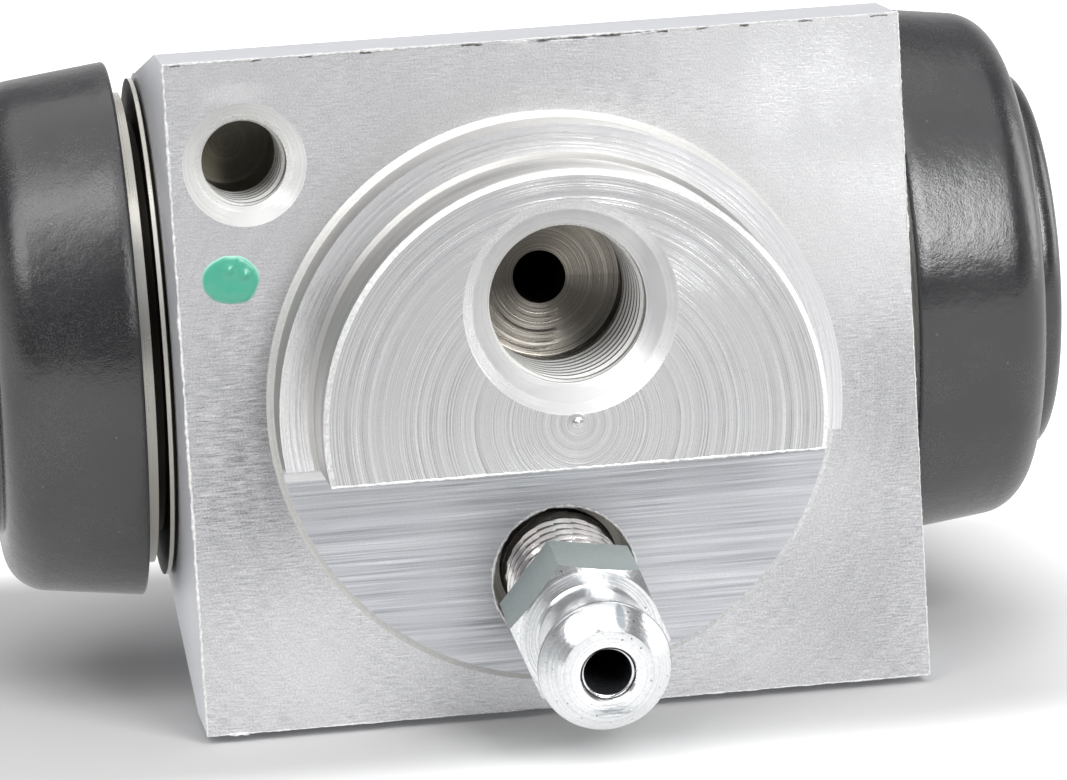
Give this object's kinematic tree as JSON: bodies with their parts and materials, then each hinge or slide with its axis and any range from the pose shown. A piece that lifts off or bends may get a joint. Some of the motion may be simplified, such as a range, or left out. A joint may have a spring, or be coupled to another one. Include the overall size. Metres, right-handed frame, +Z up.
{
  "type": "wheel cylinder",
  "caption": "Hydraulic wheel cylinder of a drum brake: machined aluminium body with a locating boss, inlet port and bleed screw, and sprung pistons under rubber boots.",
  "frame": {"origin": "on the boss axis, in the plane of the mounting face", "axes": "+X along the bore, -Y out of the mounting face and the boss, +Z up from the bleed screw to the inlet port"},
  "size_m": [0.0656, 0.0562, 0.0389],
  "materials": {
    "body_aluminium": "bare, machined with fine brush lines",
    "piston_aluminium": "bare, turned",
    "plated_steel": "bright zinc plate",
    "spring_steel": "drawn wire",
    "seal_rubber": "smooth",
    "boot_rubber": "satin, moulded"
  },
  "bodies": {
    "housing": {"cylinder_body": "body_aluminium", "left_boot": "boot_rubber", "right_boot": "boot_rubber", "return_spring": "spring_steel"},
    "left_piston": {"left_piston": "piston_aluminium", "left_piston_seal": "seal_rubber"},
    "right_piston": {"right_piston": "piston_aluminium", "right_piston_seal": "seal_rubber"},
    "bleed_screw": {"bleed_screw": "plated_steel"}
  },
  "joints": [
    {"name": "left_piston_slide", "type": "slide", "parent": "housing", "child": "left_piston", "axis": [-1, 0, 0], "range_m": [-0.003, 0.005], "stiffness_N_per_m": 400, "deforming": ["left_boot", "return_spring"]},
    {"name": "right_piston_slide", "type": "slide", "parent": "housing", "child": "right_piston", "axis": [1, 0, 0], "range_m": [-0.003, 0.005], "stiffness_N_per_m": 400, "deforming": ["right_boot", "return_spring"]},
    {"name": "bleed_screw_turn", "type": "hinge", "parent": "housing", "child": "bleed_screw", "pos_m": [0, -0.0005, -0.0106], "axis": [0, -0.9885, -0.1513], "range_deg": [0, 270]}
  ]
}
